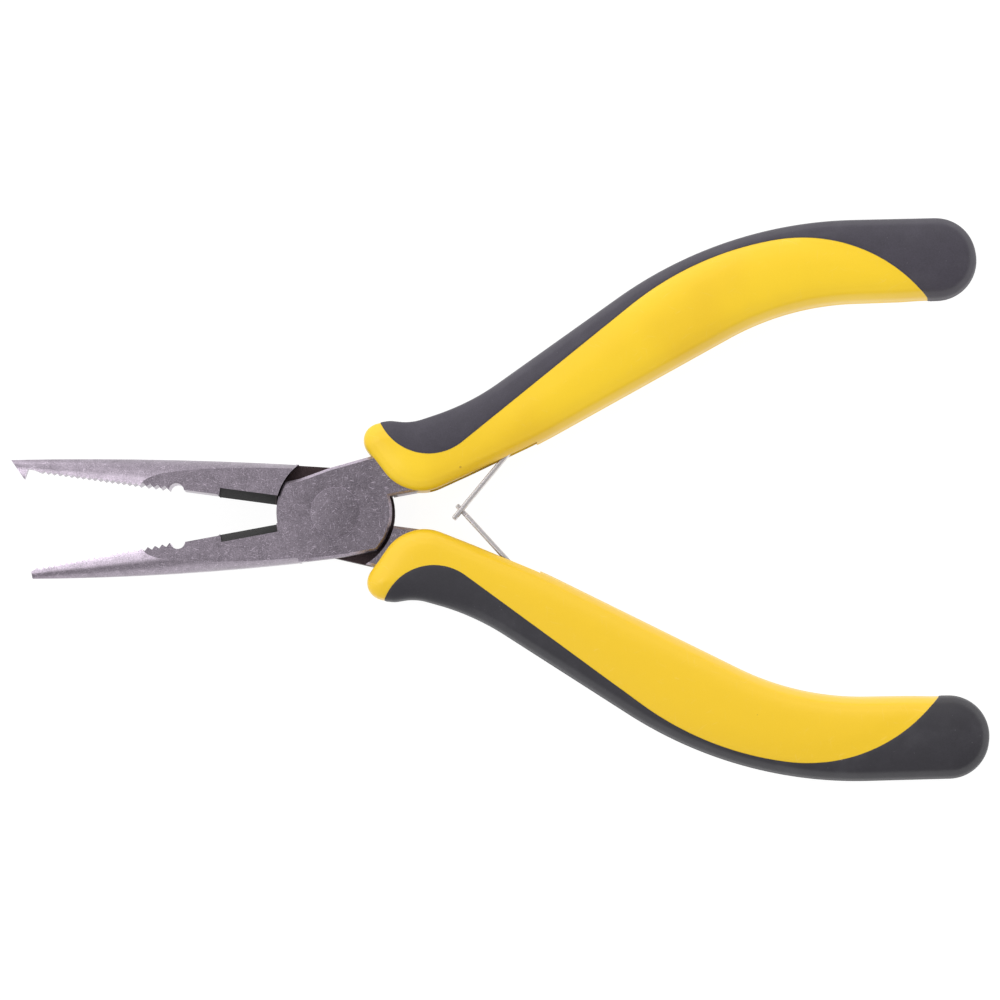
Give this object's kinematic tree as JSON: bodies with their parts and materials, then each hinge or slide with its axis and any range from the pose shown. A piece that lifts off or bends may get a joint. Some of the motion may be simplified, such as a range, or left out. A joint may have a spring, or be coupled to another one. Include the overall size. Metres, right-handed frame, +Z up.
{
  "type": "fishing pliers",
  "caption": "Open long-nose fishing pliers with a hooked split-ring jaw, crimping notch, wire cutter, leaf-spring return and curved hard grips with rubber backs.",
  "frame": {"origin": "middle of the tool's footprint at rest, on the surface that its grips lie on", "axes": "-X towards the jaw tips, +X towards the grip ends, +Y towards the upper grip, +Z up along the pivot axis"},
  "size_m": [0.1334, 0.0772, 0.0112],
  "materials": {
    "forged_steel": "ground satin faces, blackened joint faces and bevels",
    "rivet_steel": "ground flush",
    "spring_steel": "bright rolled",
    "hard_grip": "satin moulded",
    "soft_grip": "fine matt moulded"
  },
  "bodies": {
    "front_lever": {"front_half": "forged_steel", "pivot_rivet": "rivet_steel", "upper_grip_core": "hard_grip", "upper_grip_sleeve": "soft_grip", "slotted_leaf_foot": "spring_steel", "upper_leaf_rivet": "rivet_steel"},
    "rear_lever": {"rear_half": "forged_steel", "lower_grip_core": "hard_grip", "lower_grip_sleeve": "soft_grip", "tongued_leaf_foot": "spring_steel", "lower_leaf_rivet": "rivet_steel"},
    "slotted_spring": {"slotted_leaf": "spring_steel"},
    "tongued_spring": {"tongued_leaf": "spring_steel"}
  },
  "joints": [
    {"name": "main_pivot", "type": "hinge", "parent": "front_lever", "child": "rear_lever", "pos_m": [-0.02227, 0, 0.0056], "axis": [0, 0, 1], "range_deg": [-4, 18.1], "stiffness_Nm_per_rad": 2.5},
    {"name": "slotted_leaf_flex", "type": "hinge", "parent": "front_lever", "child": "slotted_spring", "pos_m": [0.00222, 0.00834, 0.0056], "axis": [0, 0, 1], "range_deg": [-16.5, 4]},
    {"name": "tongued_leaf_flex", "type": "hinge", "parent": "rear_lever", "child": "tongued_spring", "pos_m": [0.00222, -0.00834, 0.0056], "axis": [0, 0, 1], "range_deg": [-4, 16.5]}
  ],
  "couplings": [
    {"joint": "slotted_leaf_flex", "follows": "main_pivot", "ratio": -0.9},
    {"joint": "tongued_leaf_flex", "follows": "main_pivot", "ratio": 0.9}
  ]
}
